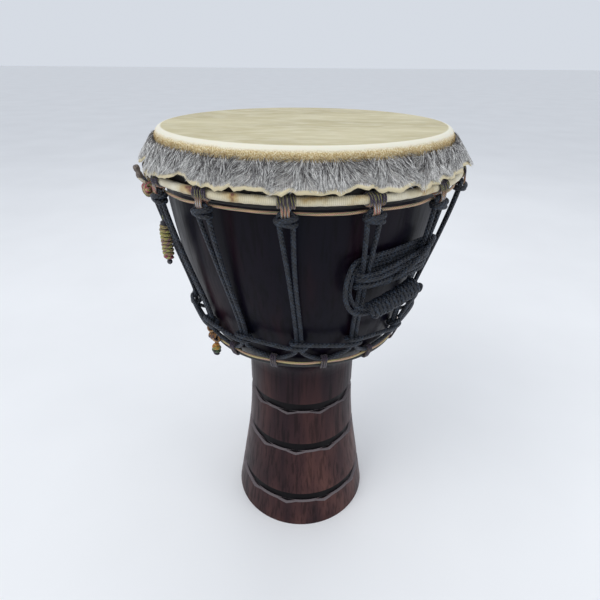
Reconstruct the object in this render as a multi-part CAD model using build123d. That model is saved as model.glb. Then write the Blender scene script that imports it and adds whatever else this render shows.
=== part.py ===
from build123d import *
import math
import os

# A rope-tuned goblet drum. Millimetres. +Z is up the drum's axis, the origin is the centre of
# the foot on the ground, and azimuths are degrees from the front (-Y) towards +X.

# --- driving sizes -------------------------------------------------------------------------
drum_height = 540.0
head_radius = 157.0
knuckle_radius = 121.5
neck_radius = 71.0
foot_radius = 97.0
wall = 15.0
lip_wall = 14.0
lip_round = 6.0
lip_drop = 10.0
under_curve = 90.0
knuckle_slope = 17.4
under_slope = 55.0
leg_height = drum_height * 49 / 108
leg_straight = 30.0
flare_slope = 9.5
flare_curve = 703.0

groove_depth = 4.0
groove_tops = (leg_height - 41.0, leg_height * 0.5633, leg_height * 0.2204)
groove_height = 14.0
cusp_drop = 4.5
cusp_width = 34.0
cusp_count = 10
cusp_starts = (20.3, 30.3, 22.7)

skin = 1.5
head_round = 7.0
hoop_bar = 2.0
hoop_drop = 45.8
collar_drop = 11.5
collar_fold = 2.6
collar_reach = 19.0
collar_fall = 34.0

crown_bar = 2.5
crown_wrap = 4.0
crown_drop = 40.0
cord = 1.1
rope = 2.3
gap = 0.2
clear = 0.3

pair_count = 14
front_pairs = (-53.4, -31.1, -5.1, 20.0, 46.2)
twist = 3.4
eye_half = 3 * cord + rope + gap
eye_bend = rope + clear
eye_drop = 49.3
turn_drop = 2 * rope + cord + 2 * gap
lacing_drop = 51.0
mid_height = drum_height - 115.0
weave_height = leg_height + (drum_height - leg_height) * 19 / 59
bottom_bar = 2.5
seat_slope = 29.0
bottom_rise = 9.7

# --- places worked out from them -----------------------------------------------------------
rest = (360.0 + front_pairs[0] - front_pairs[-1]) / (pair_count - len(front_pairs) + 1)
pairs = list(front_pairs) + [front_pairs[-1] + rest * (i + 1) for i in range(pair_count - len(front_pairs))]
hitches = [(a + b) / 2 for a, b in zip(pairs, pairs[1:] + [pairs[0] + 360])]
top = drum_height - skin
lip_radius = head_radius - skin - gap
lip_height = drum_height - lip_drop
hoop_radius = head_radius + gap + hoop_bar
hoop_height = drum_height - hoop_drop
fold_reach = hoop_bar + gap + skin
crown_height = drum_height - crown_drop
loop_reach = crown_wrap + gap + 2 * cord
ring_reach = fold_reach + loop_reach + clear
crown_radius = hoop_radius + math.sqrt(ring_reach**2 - (crown_height - hoop_height) ** 2)
lacing_radius = hoop_radius + fold_reach + gap + cord
lacing_height = drum_height - lacing_drop
eye_radius = lacing_radius + cord + gap + 2 * cord + gap + rope
eye_height = drum_height - eye_drop


def at(azimuth, radius, height, across=0.0):
    """The point at an azimuth, a radius and a height, moved sideways by `across`."""
    a = math.radians(azimuth)
    x = radius * math.sin(a) + across * math.cos(a)
    y = -radius * math.cos(a) + across * math.sin(a)
    return Vector(x, y, height)


def copies(shapes, azimuths):
    """A copy of each shape, made at the front, at each azimuth."""
    return [Rot(0, 0, a) * s for a in azimuths for s in shapes]


def save(node, *shapes):
    """Write one node, as one solid or as a group of separate solids."""
    solids = [s for shape in shapes for s in (shape if isinstance(shape, list) else [shape])]
    whole = solids[0] if len(solids) == 1 else Compound(children=[Part() + s for s in solids])
    export_step(whole, f"parts/{node}.step")


def tube(points, radii, radius):
    """A round tube along straight runs joined by tangent arcs."""
    path = FilletPolyline(*points, radius=radii)
    start = Plane(origin=path @ 0, z_dir=path % 0)
    return sweep(start * Circle(radius), path=path)


def ring(centre_radius, height, radius):
    """A plain ring round the drum's axis."""
    return Pos(0, 0, height) * Torus(centre_radius, radius)


# --- shell ---------------------------------------------------------------------------------
def slope(angle):
    """The direction down the side at an angle from the vertical, towards the axis."""
    return Vector(-math.sin(math.radians(angle)), -math.cos(math.radians(angle)))


def side_centre():
    """The centre of the arc under the bowl, at the height where the bowl turns under."""
    neck_curve_top = neck_curve_start()
    inward = Vector(-math.cos(math.radians(under_slope)), math.sin(math.radians(under_slope)))
    return neck_curve_top + inward * under_curve


def neck_curve_start():
    """The point where the arc under the bowl meets the hollow curve of the neck."""
    a = math.radians(under_slope)
    reach = knuckle_radius - neck_radius
    turn = under_curve * (math.cos(math.radians(knuckle_slope)) - math.cos(a))
    curve = (reach - turn) / (1 - math.cos(a))
    return Vector(neck_radius + curve * (1 - math.cos(a)), leg_height + curve * math.sin(a))


def knuckle():
    """The point where the bowl's long side starts to turn under."""
    a = math.radians(knuckle_slope)
    return side_centre() + Vector(math.cos(a), -math.sin(a)) * under_curve


def bowl_centre(start, end):
    """The centre of the long arc from the knuckle up to the lip."""
    a = math.radians(knuckle_slope)
    inward = Vector(-math.cos(a), math.sin(a))
    chord = end - start
    return start + inward * (chord.dot(chord) / (2 * chord.dot(inward)))


def bowl_radius_at(height):
    """The shell's outer radius at a height on the bowl's long side or the arc under it."""
    low = knuckle()
    if height < low.Y:
        centre = side_centre()
        return centre.X + math.sqrt(under_curve**2 - (height - centre.Y) ** 2)
    lip = Vector(lip_radius, lip_height)
    centre = bowl_centre(low, lip)
    radius = (lip - centre).length
    return centre.X + math.copysign(math.sqrt(radius**2 - (height - centre.Y) ** 2), lip.X - centre.X)


def side_line(inset):
    """The goblet's side from the lip down to the ground, `inset` inside its outer face."""
    a = math.radians(knuckle_slope)
    inward = Vector(-math.cos(a), math.sin(a))
    low = knuckle() + inward * inset
    lip = Vector(lip_radius - inset, lip_height)
    up = Vector(math.sin(a), math.cos(a))
    bowl = TangentArc(low, lip, tangent=up)
    under = JernArc(low, slope(knuckle_slope), under_curve - inset, knuckle_slope - under_slope)
    hollow = (neck_curve_start().Y - leg_height) / math.sin(math.radians(under_slope))
    neck = JernArc(under @ 1, slope(under_slope), hollow + inset, under_slope)
    straight = Line(neck @ 1, neck @ 1 - Vector(0, leg_straight))
    flare_angle = math.radians(flare_slope)
    flare = JernArc(straight @ 1, (0, -1), flare_curve + inset, flare_slope)
    foot = Vector(foot_radius - inset / math.cos(flare_angle), 0)
    skirt = Line(flare @ 1, foot)
    return bowl, under, neck, straight, flare, skirt


def leg_radius_at(height):
    """The shell's outer radius at a height on the flared leg."""
    bend_top = leg_height - leg_straight
    bend_end = bend_top - flare_curve * math.sin(math.radians(flare_slope))
    if height > bend_end:
        drop = bend_top - height
        return neck_radius + flare_curve - math.sqrt(flare_curve**2 - max(drop, 0) ** 2)
    end_radius = neck_radius + flare_curve * (1 - math.cos(math.radians(flare_slope)))
    return foot_radius + (end_radius - foot_radius) * height / bend_end


def groove(groove_top, cusp_start):
    """One carved groove: a turned band, with a hand-cut notch at each cusp of its lower edge."""
    low = groove_top - groove_height
    floor_top = leg_radius_at(groove_top) - groove_depth
    floor_low = leg_radius_at(low) - groove_depth
    out = foot_radius + clear
    section = Polyline((floor_top, groove_top), (out, groove_top), (out, low), (floor_low, low), close=True)
    band = revolve(Plane.XZ * make_face(section), Axis.Z)
    half = cusp_width / 2
    wedge = Polyline((-half, low + 1), (half, low + 1), (0, low - cusp_drop), close=True)
    face = Plane(origin=(0, -floor_low, 0), x_dir=(1, 0, 0), z_dir=(0, -1, 0)) * make_face(wedge)
    notch = extrude(face, out - floor_low)
    notches = [Rot(0, 0, cusp_start + i * 360 / cusp_count) * notch for i in range(cusp_count)]
    return [band] + notches


def make_shell():
    """The turned wooden goblet, hollow from the lip to the foot, with its carved leg."""
    outer = side_line(0)
    inner = side_line(wall)
    crown_out = Vector(lip_radius - lip_round, top)
    crown_in = Vector(lip_radius - lip_wall, top)
    outer_side = Line(outer[0] @ 1, (lip_radius, top - lip_round))
    edge = TangentArc(outer_side @ 1, crown_out, tangent=(0, 1))
    lip = Line(crown_out, crown_in)
    inner_side = Line(crown_in, inner[0] @ 1)
    ground = Line(outer[-1] @ 1, inner[-1] @ 1)
    outline = Wire([e for part in (*outer, outer_side, edge, lip, inner_side, *inner, ground) for e in part.edges()])
    body = revolve(Plane.XZ * make_face(outline), Axis.Z)
    cuts = [c for groove_top, start in zip(groove_tops, cusp_starts) for c in groove(groove_top, start)]
    return body - cuts


# --- skin and hoop -------------------------------------------------------------------------
def make_skin():
    """One hide: the playing face, the tuck round the flesh hoop, and the collar folded outwards."""
    hoop_gap = hoop_bar + gap
    back = math.radians(30)
    hoop = Vector(hoop_radius, hoop_height)
    up_leg = head_radius + 1.2
    leave_hair = hoop + Vector(math.cos(back), math.sin(back)) * hoop_gap
    leave_flesh = hoop + Vector(math.cos(back), math.sin(back)) * fold_reach
    rise_hair = leave_hair.Y + (leave_hair.X - up_leg) / math.tan(back)
    rise_flesh = leave_flesh.Y + (leave_flesh.X - up_leg - skin) / math.tan(back)
    fold_height = drum_height - collar_drop - collar_fold
    fold = Vector(up_leg + collar_fold, fold_height)
    fall = math.radians(collar_fall)
    normal = Vector(math.cos(fall), math.sin(fall))
    along = Vector(math.sin(fall), -math.cos(fall))
    hair_turn = fold + normal * collar_fold
    flesh_turn = fold + normal * (collar_fold - skin)
    length = (head_radius + collar_reach - hair_turn.X) / along.X
    hair_end = hair_turn + along * length
    flesh_end = flesh_turn + along * length
    inside = head_radius - skin
    flat = head_radius - head_round
    line = [
        Line((0, drum_height), (flat, drum_height)),
        TangentArc((flat, drum_height), (head_radius, drum_height - head_round), tangent=(1, 0)),
        Line((head_radius, drum_height - head_round), (head_radius, hoop_height)),
        ThreePointArc((head_radius, hoop_height), hoop - Vector(0, hoop_gap), leave_hair),
        Line(leave_hair, (up_leg, rise_hair)),
        Line((up_leg, rise_hair), (up_leg, fold_height)),
        ThreePointArc((up_leg, fold_height), fold + Vector(0, collar_fold), hair_turn),
        Line(hair_turn, hair_end),
        Line(hair_end, flesh_end),
        Line(flesh_end, flesh_turn),
        ThreePointArc(flesh_turn, fold + Vector(0, collar_fold - skin), (up_leg + skin, fold_height)),
        Line((up_leg + skin, fold_height), (up_leg + skin, rise_flesh)),
        Line((up_leg + skin, rise_flesh), leave_flesh),
        ThreePointArc(leave_flesh, hoop - Vector(0, fold_reach), (inside, hoop_height)),
        Line((inside, hoop_height), (inside, drum_height - head_round)),
        TangentArc((flat, top), (inside, drum_height - head_round), tangent=(1, 0)),
        Line((flat, top), (0, top)),
        Line((0, top), (0, drum_height)),
    ]
    outline = Wire([e for part in line for e in part.edges()])
    return revolve(Plane.XZ * make_face(outline), Axis.Z)


# --- crown: ring, cloth, loops and lacing --------------------------------------------------
def belt(low_radius, low, high_radius, high):
    """A cord loop round two bars seen end on, in the plane of the axis at the front."""
    span = high - low
    lean = math.atan2(span.X, span.Y)
    flank = math.asin((high_radius - low_radius) / span.length)

    def touch(centre, radius, side):
        a = lean + side * (math.pi / 2 + flank)
        return centre + Vector(math.sin(a), math.cos(a)) * radius

    def crown(centre, radius, sign):
        return centre + Vector(math.sin(lean), math.cos(lean)) * radius * sign

    high_arc = ThreePointArc(touch(high, high_radius, -1), crown(high, high_radius, 1), touch(high, high_radius, 1))
    low_arc = ThreePointArc(touch(low, low_radius, 1), crown(low, low_radius, -1), touch(low, low_radius, -1))
    flank_out = Line(high_arc @ 1, low_arc @ 0)
    flank_in = Line(low_arc @ 1, high_arc @ 0)
    loop = Plane(origin=(0, 0, 0), x_dir=(0, -1, 0), z_dir=(-1, 0, 0)) * Wire(
        [e for part in (high_arc, flank_out, low_arc, flank_in) for e in part.edges()]
    )
    start = Plane(origin=loop @ 0, z_dir=loop % 0)
    return sweep(start * Circle(cord), path=loop)


def crown_station():
    """The cord turns at one pair: three loops that hold the rope's eye, and a turn each side."""
    pitch = 2 * cord + 0.1
    eye = Vector(eye_radius, eye_height)
    bar = Vector(crown_radius, crown_height)
    loop = belt(rope + gap + cord, eye, crown_wrap + gap + cord, bar)
    turn = Pos(0, -crown_radius, crown_height) * Rot(0, 90, 0) * Torus(crown_wrap + gap + cord, cord)
    loops = [Pos(i * pitch, 0, 0) * loop for i in (-1, 0, 1)]
    return loops + [Pos(i * pitch, 0, 0) * turn for i in (-2, 2)]


# --- black rope ----------------------------------------------------------------------------
weave_shell = bowl_radius_at(weave_height)
weave_radius = weave_shell + clear + 2 * rope + gap + rope
pair_half = rope + gap / 2
front_radius = weave_radius + 2 * rope + gap
back_radius = weave_radius - 2 * rope - gap
seat = math.radians(seat_slope)
seat_out = under_curve + bottom_bar + 2 * cord + gap + 2 * clear
bottom_radius = side_centre().X + seat_out * math.cos(seat)
bottom_height = side_centre().Y - seat_out * math.sin(seat)
hitch_height = bottom_height + bottom_rise
hitch_radius = bowl_radius_at(hitch_height) + 3 * clear + 2 * cord + gap + rope
mid_radius = weave_radius + (eye_radius - weave_radius) * 0.61


def leg_line(height):
    """The radius of a pair's centre line at a height above the weave."""
    if height > mid_height:
        share = (height - mid_height) / (eye_height - 10 - mid_height)
        return mid_radius + (eye_radius - mid_radius) * min(share, 1.0)
    return weave_radius + (mid_radius - weave_radius) * (height - weave_height - 12) / (mid_height - weave_height - 12)


def rope_length(i):
    """One length of the vertical rope: up from a bottom hitch, over an eye, and down to the next."""
    here = pairs[i]
    low = here + twist
    middle = here + twist * 0.35
    up = [
        at(hitches[i - 1] + twist, hitch_radius, hitch_height),
        at(hitches[i - 1] + twist, hitch_radius, hitch_height, 6),
        at(low, weave_radius, weave_height - 9, -pair_half),
        at(low, weave_radius, weave_height + 12, -pair_half),
        at(middle, mid_radius, mid_height, -pair_half),
        at(here, eye_radius, eye_height - 10, -eye_half),
        at(here, eye_radius, eye_height, -eye_half),
    ]
    down = [
        at(here, eye_radius, eye_height, eye_half),
        at(here, eye_radius, eye_height - 10, eye_half),
        at(middle, mid_radius, mid_height, pair_half),
        at(low, weave_radius, weave_height + 12, pair_half),
        at(low, weave_radius, weave_height - 9, pair_half),
        at(hitches[i] + twist, hitch_radius, hitch_height, -6),
        at(hitches[i] + twist, hitch_radius, hitch_height),
    ]
    bends = [5, 8, 30, 40, 10, eye_bend]
    return tube(up + down, bends + bends[::-1], rope)


def crown_turn():
    """The rope's second turn across the front of an eye."""
    bar_radius = eye_radius + 2 * rope + gap
    reach = eye_half + rope - 2 * rope / 2
    bar = Pos(0, -bar_radius, eye_height - turn_drop) * Rot(0, 90, 0) * Cylinder(rope, 2 * reach)
    ends = [Pos(x, -bar_radius, eye_height - turn_drop) * Sphere(rope) for x in (-reach, reach)]
    return bar + ends


def weave_length(i):
    """The pull rope at one pair: across the front, once round the pair, and on to the next."""
    here = pairs[i] + twist
    behind = pairs[i - 1] + twist
    ahead = pairs[(i + 1) % pair_count] + twist
    side = pair_half + rope + gap + rope
    low = weave_height - rope - 0.2
    high = weave_height + rope + 0.2
    enter = at(here, front_radius, low, 1 - side)
    leave = at(here, front_radius, high, side - 1)
    before = (enter + at(behind, front_radius, high, side - 1)) / 2
    after = (leave + at(ahead, front_radius, low, 1 - side)) / 2
    points = [
        before,
        enter,
        at(here, front_radius, low, side),
        at(here, back_radius, weave_height - 1.2, side),
        at(here, back_radius, weave_height + 1.2, -side),
        at(here, front_radius, high, -side),
        leave,
        after,
    ]
    return tube(points, [10, 3, 3, 3, 3, 10], rope)


def bottom_station():
    """Three cord loops that hold the rope's lower bend to the bottom ring."""
    pitch = 2 * cord + 0.1
    ring_centre = Vector(bottom_radius, bottom_height)
    bend = Vector(hitch_radius, hitch_height)
    loop = belt(bottom_bar + gap + cord, ring_centre, rope + gap + cord, bend)
    return [Pos(i * pitch, 0, 0) * loop for i in (-1, 0, 1)]


# --- spare rope ----------------------------------------------------------------------------
hank_first = 15.0
hank_last = 52.0
hank_thick = 9.0
hank_gap = 0.8
bundle_radius = 9.5
lead_points = [
    at(50.6, front_radius, weave_height + 3 * rope + 0.6),
    at(50.9, front_radius + 4, weave_height + 17),
    at(50.0, front_radius + 10, weave_height + 30),
    at(47.8, front_radius + 17, weave_height + 41),
    at(45.2, front_radius + 23, weave_height + 49.5),
]


def hank_sector(first, last, low, high):
    """A block lying on the ropes between two azimuths and two heights."""
    inset = rope + hank_gap
    section = Polyline(
        (leg_line(low) + inset, low),
        (leg_line(low) + inset + hank_thick, low),
        (leg_line(high) + inset + hank_thick, high),
        (leg_line(high) + inset, high),
        close=True,
    )
    block = revolve(Plane.XZ * make_face(section), Axis.Z, last - first)
    return Rot(0, 0, first - 90) * block


def make_hank():
    """The spare rope's hank: a fan of strands over two pairs, and the whipped bundle below it."""
    out = rope + hank_gap + bundle_radius
    spine = [(24.5, mid_height - 39), (33.5, mid_height - 31), (44.0, mid_height - 22)]
    points = [at(a, leg_line(z) + out, z) for a, z in spine]
    bundle = tube(points, [60], bundle_radius)
    left = hank_sector(hank_first, 34, mid_height - 30, mid_height + 5)
    right = hank_sector(28, hank_last, mid_height - 23, mid_height + 15)
    return left + right + bundle


# --- ornaments -----------------------------------------------------------------------------
pendant_azimuth = -58.8
pendant_cord = 0.8
link_radius = 3.0
link_bar = 0.7
barrel_radius = 6.2
barrel_turns = 10
turn_pitch = 4.1
barrel_top = drum_height - 85.0
bead_radius = 2.8
knot_azimuth = -66.5
toggle_azimuth = -70.0
toggle_cord_points = [
    at(-67.4, lacing_radius + 12.6, lacing_height - 2),
    at(-68.6, lacing_radius + 15.9, lacing_height - 1.6),
    at(toggle_azimuth, head_radius + 23.5, crown_height - 10),
]
lower_azimuth = -52.6
lower_radius = bottom_radius + 8.86
lower_top = bottom_height - 0.12
lower_turns = 4


def barrel(turns, radius, height):
    """A barrel of cord turns on the Z axis, its top at `height`."""
    points = [(0, height), (radius - cord, height)]
    arcs = []
    for i in range(turns):
        start = (radius - cord, height - i * turn_pitch)
        middle = (radius, height - (i + 0.5) * turn_pitch)
        end = (radius - cord, height - (i + 1) * turn_pitch)
        arcs.append(ThreePointArc(start, middle, end))
    low = height - turns * turn_pitch
    lines = [Line(*points), *arcs, Line((radius - cord, low), (0, low)), Line((0, low), (0, height))]
    outline = Wire([e for part in lines for e in part.edges()])
    return revolve(Plane.XZ * make_face(outline), Axis.Z)


def knot(turns, major, bar):
    """A knot of cord turns side by side, along X."""
    pitch = 2 * bar + 0.1
    start = -(turns - 1) / 2 * pitch
    return [Pos(start + i * pitch, 0, 0) * Rot(0, 90, 0) * Torus(major, bar) for i in range(turns)]


def placed(shapes, azimuth, radius, height):
    """Shapes made on the origin, moved to an azimuth, a radius and a height."""
    return [Rot(0, 0, azimuth) * Pos(0, -radius, height) * s for s in shapes]


link_height = lacing_height + cord + gap - link_radius + link_bar
strand_top = link_height - link_radius + link_bar + gap + pendant_cord


def pendant_strands():
    """The doubled cord of the upper pendant, hung through its link."""
    half = link_bar + gap + pendant_cord
    low = barrel_top + gap
    points = [(-half, 0, low), (-half, 0, strand_top), (half, 0, strand_top), (half, 0, low)]
    return tube([Vector(*p) for p in points], [half * 0.98, half * 0.98], pendant_cord)


def main():
    """Write every node."""
    os.makedirs("parts", exist_ok=True)
    save("shell", make_shell())
    save("goat_skin", make_skin())
    save("flesh_hoop", ring(hoop_radius, hoop_height, hoop_bar))
    save("crown_ring", ring(crown_radius, crown_height, crown_bar))
    wrap = ring(crown_radius, crown_height, crown_wrap) - ring(crown_radius, crown_height, crown_bar + 0.05)
    save("crown_ring_wrap", wrap)
    save("crown_loops", copies(crown_station(), pairs))
    save("crown_lacing", ring(lacing_radius, lacing_height, cord))
    save("vertical_rope", [rope_length(i) for i in range(pair_count)])
    save("crown_turns", copies([crown_turn()], pairs))
    save("weave_rope", [weave_length(i) for i in range(pair_count)])
    save("bottom_ring", ring(bottom_radius, bottom_height, bottom_bar))
    save("bottom_loops", copies(bottom_station(), [a + twist for a in hitches]))
    between = Vector(hitch_radius - bottom_radius, bottom_rise).normalized()
    lace = Vector(bottom_radius, bottom_height) + between * (bottom_bar + gap + cord)
    save("bottom_lacing", ring(lace.X, lace.Y, cord))
    save("spare_rope_lead", tube(lead_points, [40, 40, 40], rope))
    save("spare_rope_hank", make_hank())
    save("upper_knot", placed(knot(4, 4.5, 1.9), knot_azimuth, lacing_radius + 6.4, lacing_height - 5.6))
    toggle = fillet(Cylinder(3.0, 12).edges(), 1.2)
    save("upper_toggle", placed([toggle], toggle_azimuth, head_radius + 23.5, crown_height - 3))
    save("upper_toggle_cord", tube(toggle_cord_points, [6], cord))
    link = Rot(0, 90, 0) * Torus(link_radius, link_bar)
    save("upper_pendant_loop", placed([link], pendant_azimuth, lacing_radius, link_height))
    save("upper_pendant_cord", placed([pendant_strands()], pendant_azimuth, lacing_radius, 0))
    wound = barrel(barrel_turns, barrel_radius, barrel_top)
    save("upper_pendant_barrel", placed([wound], pendant_azimuth, lacing_radius, 0))
    bead_height = barrel_top - barrel_turns * turn_pitch - gap - bead_radius
    save("upper_pendant_bead", placed([Sphere(bead_radius)], pendant_azimuth, lacing_radius, bead_height))
    knot_height = lower_top + 10.3
    save("lower_knot", placed(knot(4, 3.6, 1.7), lower_azimuth, lower_radius + 0.9, knot_height))
    neck_low = lower_top + 3 * gap
    neck_high = knot_height - 5.3 - gap
    neck = Pos(0, 0, (neck_low + neck_high) / 2) * Cylinder(1.4, neck_high - neck_low)
    save("lower_pendant_cord", placed([neck], lower_azimuth, lower_radius, 0))
    save("lower_pendant_barrel", placed([barrel(lower_turns, 5.4, lower_top)], lower_azimuth, lower_radius, 0))


main()
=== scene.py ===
import math
import random
import bpy
import numpy as np
from mathutils import Matrix, Vector, noise


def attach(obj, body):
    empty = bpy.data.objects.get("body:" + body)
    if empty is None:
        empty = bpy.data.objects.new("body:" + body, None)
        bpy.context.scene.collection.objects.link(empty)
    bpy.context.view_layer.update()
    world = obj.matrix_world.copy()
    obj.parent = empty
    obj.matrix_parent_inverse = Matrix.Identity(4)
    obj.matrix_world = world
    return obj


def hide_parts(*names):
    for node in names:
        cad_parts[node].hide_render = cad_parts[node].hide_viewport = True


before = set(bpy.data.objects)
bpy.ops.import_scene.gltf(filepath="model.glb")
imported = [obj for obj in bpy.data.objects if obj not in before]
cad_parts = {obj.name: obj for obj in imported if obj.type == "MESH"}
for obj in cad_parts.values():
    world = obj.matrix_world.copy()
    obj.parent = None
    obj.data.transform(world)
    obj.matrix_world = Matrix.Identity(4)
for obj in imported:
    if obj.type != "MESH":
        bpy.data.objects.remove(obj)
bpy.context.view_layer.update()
bpy.ops.object.select_all(action="DESELECT")

# --- Camera ---------------------------------------------------------------------------------
# A short lens standing half a metre in front of the axis, a little above the head and tipped
# down, with a very slight roll.
bpy.ops.object.camera_add(location=(-0.00313, -0.5217, 0.6016))
camera = bpy.context.object
tip = Matrix.Rotation(math.radians(61.66), 3, "X") @ Matrix.Rotation(math.radians(0.44), 3, "Z")
camera.rotation_euler = tip.to_euler()
camera.data.lens = 27.06
camera.data.sensor_width = 36
camera.data.clip_start = 0.01
bpy.context.scene.camera = camera

# --- Spare rope -----------------------------------------------------------------------------
# The unused end of the pull rope: one length of black braided rope that leaves the weave, is
# laid in loops round two pairs of uprights, and is whipped round its own strands to a bundle.
rope_radius = 0.0023


def at(azimuth, radius, height, across=0.0):
    """The point at an azimuth from the front, a radius and a height, moved sideways by across."""
    a = math.radians(azimuth)
    x = radius * math.sin(a) + across * math.cos(a)
    y = -radius * math.cos(a) + across * math.sin(a)
    return Vector((x, y, height))


def leg_line(height):
    """The radius of a pair of uprights at a height above the weave."""
    return float(np.interp(height, (0.352, 0.425, 0.4807), (0.1340, 0.15608, 0.1702)))


def on_legs(azimuth, out, height):
    """A point that lies a distance out from the uprights, or in from them."""
    return at(azimuth, leg_line(height) + out, height)


def line_of(points, closed=False, steps=8):
    """The smooth line that a cord takes from a few points along its route."""
    route = bpy.data.curves.new("route", "CURVE")
    route.dimensions = "3D"
    route.resolution_u = steps
    spline = route.splines.new("NURBS")
    spline.points.add(len(points) - 1)
    for place, point in zip(spline.points, points):
        place.co = (*point, 1)
    spline.order_u = 3
    spline.use_cyclic_u = closed
    spline.use_endpoint_u = not closed
    holder = bpy.data.objects.new("route", route)
    bpy.context.scene.collection.objects.link(holder)
    bpy.context.view_layer.update()
    mesh = bpy.data.meshes.new_from_object(holder)
    line = [v.co.copy() for v in mesh.vertices]
    bpy.data.objects.remove(holder)
    bpy.data.meshes.remove(mesh)
    bpy.data.curves.remove(route)
    return line


def laid_cord(name, lines, radius, sides=12, closed=False, shift=0.37):
    """Round cord along each line, with a UV map that runs round it and along it in metres."""
    points, faces, uvs = [], [], []
    for number, line in enumerate(lines):
        base = len(points)
        count = len(line)
        ahead = [line[(i + 1) % count] if closed else line[min(i + 1, count - 1)] for i in range(count)]
        behind = [line[i - 1] if closed else line[max(i - 1, 0)] for i in range(count)]
        along = [(a - b).normalized() for a, b in zip(ahead, behind)]
        side = along[0].orthogonal().normalized()
        sides_at = []
        for t in along:
            side = (side - t * side.dot(t)).normalized()
            sides_at.append(side.copy())
        turn = 0.0
        if closed:
            last = (sides_at[-1] - along[0] * sides_at[-1].dot(along[0])).normalized()
            turn = math.atan2(along[0].dot(last.cross(sides_at[0])), last.dot(sides_at[0]))
        run = shift * number
        runs = []
        for i in range(count):
            runs.append(run)
            run += (line[(i + 1) % count] - line[i]).length
            across = along[i].cross(sides_at[i])
            for k in range(sides):
                a = 2 * math.pi * k / sides + turn * i / count
                points.append(line[i] + (sides_at[i] * math.cos(a) + across * math.sin(a)) * radius)
        runs.append(run)
        for i in range(count if closed else count - 1):
            j = (i + 1) % count
            for k in range(sides):
                m = (k + 1) % sides
                faces.append((base + i * sides + k, base + i * sides + m, base + j * sides + m,
                    base + j * sides + k))
                u, w = k / sides, (k + 1) / sides
                uvs += [(u, runs[i]), (w, runs[i]), (w, runs[i + 1]), (u, runs[i + 1])]
        if not closed:
            for i, way in ((0, -1), (count - 1, 1)):
                points.append(line[i] + along[i] * way * radius * 0.6)
                for k in range(sides):
                    m = (k + 1) % sides
                    edge = (base + i * sides + k, base + i * sides + m)
                    faces.append((*(edge if way > 0 else edge[::-1]), len(points) - 1))
                    uvs += [(k / sides, runs[i]), (k / sides, runs[i]), (k / sides, runs[i] + radius)]
    mesh = bpy.data.meshes.new(name)
    mesh.from_pydata(points, [], faces)
    layer = mesh.uv_layers.new(name="UVMap")
    layer.data.foreach_set("uv", np.array(uvs, np.float32).ravel())
    mesh.shade_smooth()
    cord = bpy.data.objects.new(name, mesh)
    bpy.context.scene.collection.objects.link(cord)
    return cord


def put(tree, kind, inputs=None, **settings):
    """A shader node, with each input given a value or joined to a socket."""
    made = tree.nodes.new(kind)
    for key, value in settings.items():
        setattr(made, key, value)
    for key, value in (inputs or {}).items():
        if isinstance(value, bpy.types.NodeSocket):
            tree.links.new(value, made.inputs[key])
        else:
            made.inputs[key].default_value = value
    return made


def maths(tree, operation, first, second=0.0):
    """One sum in a shader."""
    return put(tree, "ShaderNodeMath", {0: first, 1: second}, operation=operation).outputs[0]


def ramp(tree, factor, stops, hard=False):
    """A run of colours along a factor."""
    made = put(tree, "ShaderNodeValToRGB", {0: factor})
    made.color_ramp.interpolation = "CONSTANT" if hard else "LINEAR"
    while len(made.color_ramp.elements) < len(stops):
        made.color_ramp.elements.new(1.0)
    for element, (place, colour) in zip(made.color_ramp.elements, stops):
        element.position = place
        element.color = (*colour, 1)
    return made.outputs[0]


def mixed(tree, factor, first, second, way="MIX"):
    """Two colours mixed by a factor."""
    made = put(tree, "ShaderNodeMix", {0: factor}, data_type="RGBA", blend_type=way)
    for place, value in ((6, first), (7, second)):
        if isinstance(value, bpy.types.NodeSocket):
            tree.links.new(value, made.inputs[place])
        else:
            made.inputs[place].default_value = (*value, 1)
    return made.outputs[2]


def new_finish(name, roughness, **sockets):
    """A material with its shader, ready for colour and bump."""
    material = bpy.data.materials.new(name)
    material.use_nodes = True
    shader = material.node_tree.nodes["Principled BSDF"]
    shader.inputs["Roughness"].default_value = roughness
    for key, value in sockets.items():
        shader.inputs[key.replace("_", " ")].default_value = value
    return material, material.node_tree, shader


def raise_by(tree, shader, height, distance, strength=1.0):
    """Relief from a height."""
    bump = put(tree, "ShaderNodeBump", {"Height": height, "Distance": distance, "Strength": strength})
    tree.links.new(bump.outputs[0], shader.inputs["Normal"])


def object_noise(tree, scale, detail=3.0, stretch=(1, 1, 1)):
    """Noise through the object's own space."""
    place = put(tree, "ShaderNodeTexCoord")
    drawn = put(tree, "ShaderNodeMapping", {0: place.outputs["Object"], 3: stretch})
    return put(tree, "ShaderNodeTexNoise", {"Vector": drawn.outputs[0], "Scale": scale,
        "Detail": detail}).outputs[0]


def height_of(tree):
    """How high a point of the object stands, in metres."""
    place = put(tree, "ShaderNodeTexCoord")
    return put(tree, "ShaderNodeSeparateXYZ", {0: place.outputs["Object"]}).outputs[2]


def braid_height(tree, strands, pitch):
    """Crossing strands of a braid, from the cord's own map. Also gives the two diagonals."""
    place = put(tree, "ShaderNodeUVMap", uv_map="UVMap")
    apart = put(tree, "ShaderNodeSeparateXYZ", {0: place.outputs[0]})
    round_it = maths(tree, "MULTIPLY", apart.outputs[0], strands)
    along = maths(tree, "DIVIDE", apart.outputs[1], pitch)
    right = maths(tree, "ADD", round_it, along)
    left = maths(tree, "SUBTRACT", round_it, along)
    one = maths(tree, "ABSOLUTE", maths(tree, "SINE", maths(tree, "MULTIPLY", right, math.pi)))
    two = maths(tree, "ABSOLUTE", maths(tree, "SINE", maths(tree, "MULTIPLY", left, math.pi)))
    return maths(tree, "MULTIPLY", one, two), right, left


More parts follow.
